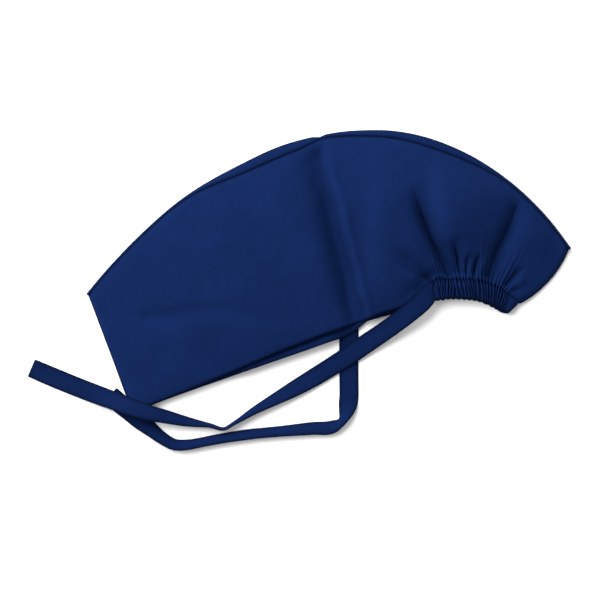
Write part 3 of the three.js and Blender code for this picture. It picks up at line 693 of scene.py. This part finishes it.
def thread_material():
    """Twisted navy sewing thread."""
    material, tree, shader = new_material("navy_thread")
    coordinates = tree.nodes.new("ShaderNodeTexCoord").outputs
    twist = noise(tree, coordinates["Object"], 2600.0, 1.0)
    put(shader.inputs["Base Color"], blend(tree, twist, scaled(DYE, 0.55), scaled(DYE, 0.9)))
    put(shader.inputs["Roughness"], 0.88)
    put(shader.inputs["Specular IOR Level"], 0.05)
    bump = tree.nodes.new("ShaderNodeBump")
    put(bump.inputs["Height"], twist)
    put(bump.inputs["Distance"], 0.00006)
    put(shader.inputs["Normal"], bump.outputs[0])
    return material


THREAD = thread_material()

# ---------------------------------------------------------------- the six pieces of cloth
GRAIN = math.radians(24)  # the panels are cut with their threads along the brim


def grain(x, y):
    return np.stack([x * math.cos(GRAIN) + y * math.sin(GRAIN), y * math.cos(GRAIN) - x * math.sin(GRAIN)], axis=-1)


def panel_rows(fine, middle, top, by_brim=0.13, by_crown=0.93):
    """Rows from brim to crown, closer together at both."""
    return np.concatenate([
        np.linspace(0, by_brim, fine, endpoint=False), np.linspace(by_brim, by_crown, middle, endpoint=False),
        np.linspace(by_crown, 1, top),
    ])


def left_panel():
    s, t = np.meshgrid(stations(1), panel_rows(28, 61, 14), indexing="ij")
    x, y, size = plan(s, t, strip_shows(s) + SEAM_GAP, 0.0)
    mid = np.stack([x, y, left_height(s, t, x, y, size)], axis=-1)
    # the rim is thinner over the casing, where no hem is turned
    gathered = over_casing(s)
    wall = PANEL_WALL / 2 * (1 - 0.6 * gathered * np.exp(-t * size / 1.2))
    # painted shade along the rim, fainter where the panel laps the casing
    painted_shade = rim_shade_mask(mid, 1.2) * (1 - 0.6 * gathered * np.exp(-t * size / 3))
    return cloth(
        "left_panel_cloth", mid, wall, wall + HEM_EXTRA * hemmed(s, t, size), grain(x, y),
        PANEL_CLOTH, "left_side_panel", painted_shade=painted_shade,
    )


def right_panel():
    s, t = np.meshgrid(stations(0.45), panel_rows(8, 30, 6), indexing="ij")
    drop = curve([d[0] for d in FAR_DROP], [d[1] for d in FAR_DROP], section("brimX", s))
    x, y, size = plan(s, t, CROWN_TUCK + SEAM_GAP, drop)
    z = right_height(s, t, x, y, size)
    free = smooth((z - TABLE_MID) * 2 + 0.3) * 0.12
    mid = np.stack([x, y, z + free * (1 + crumple(x, y, 9, 12, 40))], axis=-1)
    # its rim gets the default painted shade
    return cloth(
        "right_panel_cloth", mid, PANEL_WALL / 2 + HEM_EXTRA * hemmed(s, t, size), PANEL_WALL / 2, grain(x, y),
        PANEL_CLOTH, "right_side_panel",
    )


def crown_strip():
    """The strip over the crown's edge: a quarter turn from its seam out, one back under, and a flat run inside."""
    over, under, rows = 12, 7, 22
    s, j = np.meshgrid(stations(1.1), np.arange(rows + 1), indexing="ij")
    x, y, out_x, out_y = outline(s)
    sliver, top = strip_shows(s), section("seamZ", s) + SEAM_RISE
    waist, out = mix(TABLE_MID, top, 0.5), PANEL_WALL / 2
    upper, flat = j <= over, j > over + under
    turn = (math.pi / 2) * np.where(upper, 1 - j / over, np.clip((j - over) / under, 0, 1))
    q = out + (np.where(upper, sliver, STRIP_HEEL) - out) * (1 - np.cos(turn))
    q = np.where(flat, mix(STRIP_HEEL, CROWN_TUCK, (j - over - under) / (rows - over - under)), q)
    z = waist + np.where(upper, top - waist, TABLE_MID - waist) * np.sin(turn)
    # its upper edge dips into the seam, and puckers
    to_seam = np.maximum(0, sliver - q)
    pucker = 0.14 * np.sin(s / 2.1 + 2.0 * np.sin(s / 15)) * np.exp(-to_seam / 3)
    z = z + np.where(upper, pucker - 0.6 * np.exp(-to_seam / 1.1), 0)
    mid = np.stack([x - q * out_x, y - q * out_y, z], axis=-1)
    # painted shade: a dark line where the strip turns over the crown's edge, and along its rim
    painted_shade = np.maximum(0.6 * rim_shade_mask(mid, 1.3), np.exp(-(((j - 11) / 3.8) ** 2)))
    return cloth(
        "crown_strip_cloth", mid, PANEL_WALL / 2, PANEL_WALL / 2, np.stack([s, run_along(mid, 1)], axis=-1),
        STRIP_CLOTH, "crown_strip", painted_shade=painted_shade,
    )


def casing_wall(t):
    """Half the casing's thickness, thinner where it passes under the panel."""
    return CASING_WALL / 2 * (1 - 0.35 * smooth((t - 0.85) / 0.15))


def casing_base(s, t):
    """The casing before it is ruffled, t = 0 at its hem and 1 just under the panel's brim."""
    hem_at = [station(row[0]) for row in HEM]
    low_x, low_y, low_z = (curve(hem_at, [row[k] for row in HEM], s) for k in (1, 2, 3))
    top_x, top_y = section("brimX", s), section("brimY", s)
    stop = 1 + CASING_LAP / np.hypot(top_x - low_x, top_y - low_y)
    return mix(low_x, top_x, t * stop), mix(low_y, top_y, t * stop), low_z


def casing():
    """The gathered casing: along the nape's near side, round the centre back, and back along the far side."""
    i, j = np.meshgrid(np.arange(NEAR_CELLS + TURN_CELLS + FAR_CELLS + 1), np.arange(CASING_ROWS + 1), indexing="ij")
    t = j / CASING_ROWS
    dip = HEM_DIP * smooth((HEM_SHARE - t) / HEM_SHARE)
    # the near run, whose ruffles lean and twist a little between hem and seam
    share = np.clip(i / NEAR_CELLS, 0, 1)
    x, y, z = casing_base(at_share(share), t)
    up = t * (CASING_WIDE + CASING_LAP)  # mm from the hem
    past = np.maximum(0, up - CASING_WIDE)  # and beyond the panel's brim
    joined = smooth((up - 7.0) / 4.5)  # the ruffles run on into the panel's
    lean = (0.013 + 0.014 * np.sin(share * 23)) * np.minimum(0, up / CASING_WIDE - 1)
    lean = lean + 0.006 * np.sin(share * 40 + t * 3.5) * (1 - joined)
    puff, reach = ruffle(np.clip(share + lean * smooth(share * 9) * smooth((1 - share) * 9), 0, 1))
    fine, _ = ruffle(np.clip(0.37 * share + 0.31 + 0.03 * t, 0, 1))
    brim_x, brim_y, brim_z = (section(key, at_share(share)) for key in ("brimX", "brimY", "brimZ"))
    brim_z = brim_z - UNDER_BRIM - casing_wall(t) + FOLD_AT_CASING * fold_height(brim_x, brim_y)
    z = mix(z, brim_z, joined) - dip
    calm = np.stack([x, y, z], axis=-1)
    hem = 0.45 + 0.55 * smooth(t / 0.3)  # lower ruffles along the hem
    tall = mix(0.9 + 0.3 * np.sin(share * 31 + t * 3), np.exp(-past / reach), joined)
    near = np.stack([
        x, y - 0.3 * puff * (1 - t), z + RUFFLE_RISE * hem * puff * tall + 0.35 * fine * (1 - joined),
    ], axis=-1)
    # the turn at the centre back
    end_x, end_y, end_z = casing_base(np.full(t.shape, CASING_TO), t)
    ago_x, ago_y, _ = casing_base(np.full(t.shape, CASING_TO - 4), t)
    size = np.hypot(end_x - ago_x, end_y - ago_y)
    done = np.clip((i - NEAR_CELLS) / TURN_CELLS, 0, 1)
    angle, half = math.pi * done, (end_z - TURN["lower"]) / 2
    turn_x = end_x + (end_x - ago_x) / size * TURN["reach"] * np.sin(angle) + TURN["backX"] * done
    turn_y = end_y + (end_y - ago_y) / size * TURN["reach"] * np.sin(angle) + TURN["backY"] * done
    turn_z = TURN["lower"] + half + half * np.cos(angle) - dip * (1 - done)
    turn_z = turn_z + 0.4 * crumple(turn_x, turn_y, 17, 4, 9) * np.sin(angle)
    end_brim = section("brimZ", CASING_TO) - UNDER_BRIM - casing_wall(t)
    turn_z = turn_z + (mix(end_z, end_brim, joined) - end_z) * (1 - done)
    # the far run
    back = np.clip((i - NEAR_CELLS - TURN_CELLS) / FAR_CELLS, 0, 1)
    far_x, far_y, _ = casing_base(at_share(1 - back), t)
    wave = np.abs(np.sin(math.pi * FAR_RUFFLES * back + 1.7 * np.sin(back * 9)))
    wave = wave * smooth(back * 12) * smooth((1 - back) * 8)
    far_y = far_y + mix(TURN["backY"], TURN["frontY"], smooth(back * 1.6)) - 0.8 * wave * (1 - t)
    far = np.stack([far_x + TURN["backX"], far_y, np.full(t.shape, TURN["lower"])], axis=-1)
    on_near, on_turn = (i <= NEAR_CELLS)[..., None], (i < NEAR_CELLS + TURN_CELLS)[..., None]
    rest = np.where(on_turn, np.stack([turn_x, turn_y, turn_z], axis=-1), far)
    mid, calm = np.where(on_near, near, rest), np.where(on_near, calm, rest)
    # painted shade along the casing's hem
    piece = cloth(
        "casing_cloth", mid, casing_wall(t), casing_wall(t), np.stack([run_along(mid, 0), t * CASING_WIDE], axis=-1),
        CASING_CLOTH, "elastic_casing", calm=calm, painted_shade=np.exp(-((t * CASING_WIDE / 0.9) ** 2)),
    )
    return piece, mid, calm


TIE_CELLS, TIE_ROWS = 330, 10
TIE_BOW, TIE_BOW_HALF = 0.10, 6.4  # a tie bows up between its edges, this much and this wide


def tie(name, rows, seed, replaced):
    """A tie along its rows, and its middle surface."""
    at = along(rows)
    i, j = np.meshgrid(np.arange(TIE_CELLS + 1), np.arange(TIE_ROWS + 1), indexing="ij")
    s = at[-1] * i / TIE_CELLS

    def get(k, where):
        return curve(at, [r[k] for r in rows], where)

    dx = get(0, np.minimum(at[-1], s + 0.5)) - get(0, np.maximum(0, s - 0.5))
    dy = get(1, np.minimum(at[-1], s + 0.5)) - get(1, np.maximum(0, s - 0.5))
    heading = np.arctan2(dy, dx) + math.pi / 2 + np.radians(np.interp(s, at, [r[4] for r in rows]))
    roll = np.radians(np.clip(get(2, s), 0, 90))
    # rows bunch at the edges, where the tape turns
    share = (1 - np.cos(math.pi * j / TIE_ROWS)) / 2
    side = (share - 0.5) * TIE_WIDTH * (1 + 0.012 * crumple(s, 0 * s, seed, 20, 70))
    lean = TIE_RELAX * np.sin(roll)
    lie = TIE_WALL / 2 * (np.cos(roll) + 0.5 * np.sin(roll)) + TIE_WIDTH / 2 * lean + np.maximum(0, get(3, s))
    bow = TIE_BOW * np.maximum(0.3, 1 + crumple(s, side, seed + 1, 14, 45))
    mid = np.stack([
        get(0, s) + side * np.cos(roll) * np.cos(heading), get(1, s) + side * np.cos(roll) * np.sin(heading),
        lie + side * lean + (bow + TIE_CURL * lean) * (1 - (side / TIE_BOW_HALF) ** 2),
    ], axis=-1)
    wall = TIE_WALL / 2 * np.minimum(1, np.minimum(share, 1 - share) * 9 + 0.55)
    piece = cloth(
        # painted shade along the tie's edges
        name, mid, wall, wall, np.stack([side + 7, s], axis=-1), TIE_CLOTH, replaced,
        painted_shade=rim_shade_mask(mid, 1.3),
    )
    return piece, mid


left_cloth = left_panel()
right_cloth = right_panel()
crown_cloth = crown_strip()
casing_cloth, casing_mid, casing_calm = casing()
left_tie_cloth, left_tie_mid = tie("left_tie_cloth", LEFT_TIE, 21, "left_tie")
right_tie_cloth, right_tie_mid = tie("right_tie_cloth", RIGHT_TIE, 31, "right_tie")


# ---------------------------------------------------------------- stitches
def stitch_tree():
    """Capsules of thread laid along a line, one every pitch, dipping into the cloth between them."""
    tree = bpy.data.node_groups.new("stitch_row", "GeometryNodeTree")
    for label, kind in (
        ("Line", "NodeSocketGeometry"), ("Pitch", "NodeSocketFloat"), ("Stitch length", "NodeSocketFloat"),
        ("Thread radius", "NodeSocketFloat"), ("Thread", "NodeSocketMaterial"), ("Seed", "NodeSocketInt"),
    ):
        tree.interface.new_socket(name=label, in_out="INPUT", socket_type=kind)
    tree.interface.new_socket(name="Stitches", in_out="OUTPUT", socket_type="NodeSocketGeometry")
    given, made = tree.nodes.new("NodeGroupInput").outputs, tree.nodes.new("NodeGroupOutput").inputs
    link = tree.links.new
    to_curve = tree.nodes.new("GeometryNodeMeshToCurve")
    link(given["Line"], to_curve.inputs["Mesh"])
    spaced = tree.nodes.new("GeometryNodeResampleCurve")
    spaced.mode = "LENGTH"
    link(to_curve.outputs[0], spaced.inputs["Curve"])
    link(given["Pitch"], spaced.inputs["Length"])
    tangent = tree.nodes.new("GeometryNodeInputTangent")
    up = tree.nodes.new("GeometryNodeInputNamedAttribute")
    up.data_type = "FLOAT_VECTOR"
    up.inputs["Name"].default_value = "up"
    aim = tree.nodes.new("FunctionNodeAxesToRotation")
    aim.primary_axis, aim.secondary_axis = "Z", "X"
    link(tangent.outputs[0], aim.inputs["Primary Axis"])
    link(up.outputs[0], aim.inputs["Secondary Axis"])
    thread = tree.nodes.new("GeometryNodeMeshUVSphere")
    thread.inputs["Segments"].default_value = 6
    thread.inputs["Rings"].default_value = 5
    thread.inputs["Radius"].default_value = 1.0
    uneven = tree.nodes.new("FunctionNodeRandomValue")
    uneven.data_type = "FLOAT"
    uneven.inputs[2].default_value, uneven.inputs[3].default_value = 0.9, 1.08
    link(given["Seed"], uneven.inputs["Seed"])
    size = tree.nodes.new("ShaderNodeCombineXYZ")
    half = math_node(tree, "MULTIPLY", math_node(tree, "MULTIPLY", given["Stitch length"], uneven.outputs[1]), 0.5)
    for k, source in enumerate((given["Thread radius"], given["Thread radius"], half)):
        link(source, size.inputs[k])
    place = tree.nodes.new("GeometryNodeInstanceOnPoints")
    link(spaced.outputs[0], place.inputs["Points"])
    link(thread.outputs["Mesh"], place.inputs["Instance"])
    link(aim.outputs[0], place.inputs["Rotation"])
    link(size.outputs[0], place.inputs["Scale"])
    real = tree.nodes.new("GeometryNodeRealizeInstances")
    link(place.outputs[0], real.inputs[0])
    dress = tree.nodes.new("GeometryNodeSetMaterial")
    link(real.outputs[0], dress.inputs["Geometry"])
    link(given["Thread"], dress.inputs["Material"])
    link(dress.outputs[0], made["Stitches"])
    return tree


STITCHES = stitch_tree()


def stitch_row(name, lines, pitch=2.6, length=2.1, radius=0.16, seed=1):
    """One piece of stitching along several (places, ups) lines, in mm before the shift."""
    points = np.concatenate([p for p, _ in lines])
    ups = np.concatenate([u for _, u in lines])
    edges, start = [], 0
    for p, _ in lines:
        edges += [(start + k, start + k + 1) for k in range(len(p) - 1)]
        start += len(p)
    guide = bpy.data.meshes.new(name + "_guide")
    guide.from_pydata(((points + SHIFT) * MM).tolist(), edges, [])
    attribute = guide.attributes.new("up", "FLOAT_VECTOR", "POINT")
    attribute.data.foreach_set("vector", ups.astype(np.float32).ravel())
    carrier = bpy.data.objects.new(name + "_guide", guide)
    bpy.context.scene.collection.objects.link(carrier)
    modifier = carrier.modifiers.new("stitches", "NODES")
    modifier.node_group = STITCHES
    wanted = {
        "Pitch": pitch * MM, "Stitch length": length * MM, "Thread radius": radius * MM,
        "Thread": THREAD, "Seed": seed,
    }
    for item in STITCHES.interface.items_tree:
        if item.in_out == "INPUT" and item.name in wanted:
            modifier[item.identifier] = wanted[item.name]
    evaluated = carrier.evaluated_get(bpy.context.evaluated_depsgraph_get())
    mesh = bpy.data.meshes.new_from_object(evaluated)
    carrier.modifiers.remove(modifier)
    bpy.data.objects.remove(carrier)
    mesh.shade_smooth()
    piece = bpy.data.objects.new(name, mesh)
    bpy.context.scene.collection.objects.link(piece)
    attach(piece, "root")
    return piece


def on_face(mid, row, rise, first, last, calm=None):
    """A line on the outer face of a sheet, rise above its middle, along one of its rows."""
    n = normals_of(mid if calm is None else calm)
    return (mid[first:last, row] + n[first:last, row] * rise, n[first:last, row])


def tie_stitches(name, mid, seed):
    lines = [on_face(mid, row, TIE_WALL / 2 + 0.02, 4, -3) for row in (2, TIE_ROWS - 2)]
    return stitch_row(name, lines, seed=seed)


left_tie_stitches = tie_stitches("left_tie_stitches", left_tie_mid, 3)
right_tie_stitches = tie_stitches("right_tie_stitches", right_tie_mid, 4)
casing_lines = [
    on_face(casing_mid, row, CASING_WALL / 2 - 0.05, 2, NEAR_CELLS + 6, casing_calm) for row in (CASING_ROWS - 3, 1)
]
casing_stitches = stitch_row(
    "casing_stitches", casing_lines, pitch=1.3, length=0.8, radius=0.13, seed=5,
)


# ---------------------------------------------------------------- the table, the light and the camera
TABLE_REACH = 3.0  # metres each way


def white_table():
    mesh = bpy.data.meshes.new("floor")
    corners = [(x * TABLE_REACH, y * TABLE_REACH, 0) for x, y in ((-1, -1), (1, -1), (1, 1), (-1, 1))]
    mesh.from_pydata(corners, [], [(0, 1, 2, 3)])
    material, tree, shader = new_material("white_paper")
    coordinates = tree.nodes.new("ShaderNodeTexCoord").outputs
    fibre = noise(tree, coordinates["Object"], 60.0, 3.0)
    put(shader.inputs["Base Color"], blend(tree, fibre, (0.9, 0.9, 0.9, 1), (0.93, 0.93, 0.93, 1)))
    put(shader.inputs["Roughness"], 0.85)
    put(shader.inputs["Specular IOR Level"], 0.2)
    mesh.materials.append(material)
    table = bpy.data.objects.new("floor", mesh)
    bpy.context.scene.collection.objects.link(table)


def soft_light(name, place, aim, size, power):
    data = bpy.data.lights.new(name, "AREA")
    data.shape, data.size, data.energy = "SQUARE", size, power
    lamp = bpy.data.objects.new(name, data)
    bpy.context.scene.collection.objects.link(lamp)
    lamp.location = place
    lamp.rotation_mode = "QUATERNION"
    look = Vector(aim) - Vector(place)
    lamp.rotation_quaternion = look.to_track_quat("-Z", "Y")


white_table()
LIGHT_FAR, LIGHT_HIGH, LIGHT_TURN = 1.8, math.radians(34), math.radians(44)
LIGHT_SIZE, LIGHT_POWER, ROOM_LIGHT = 2.3, 111.0, 0.66
light_out = LIGHT_FAR * math.cos(LIGHT_HIGH)
light_at = (-light_out * math.sin(LIGHT_TURN), light_out * math.cos(LIGHT_TURN), LIGHT_FAR * math.sin(LIGHT_HIGH))
soft_light("window_light", light_at, (0.0, 0.0, 0.0), LIGHT_SIZE, LIGHT_POWER)
world = bpy.data.worlds.new("room")
world.use_nodes = True
room = next(n for n in world.node_tree.nodes if n.type == "BACKGROUND")
room.inputs["Color"].default_value = (1.0, 1.0, 1.0, 1.0)
room.inputs["Strength"].default_value = ROOM_LIGHT
bpy.context.scene.world = world
bpy.context.scene.view_settings.view_transform = "Standard"

FRAME_WIDE, FRAME_AT, CAMERA_HIGH = 0.408, (0.000438, -0.00643), 1.5  # metres, looking straight down
eye = bpy.data.cameras.new("camera")
eye.sensor_width = 36.0
eye.lens = eye.sensor_width * CAMERA_HIGH / FRAME_WIDE
camera = bpy.data.objects.new("camera", eye)
bpy.context.scene.collection.objects.link(camera)
camera.location = (*FRAME_AT, CAMERA_HIGH)
camera.rotation_euler = (0.0, 0.0, 0.0)
bpy.context.scene.camera = camera
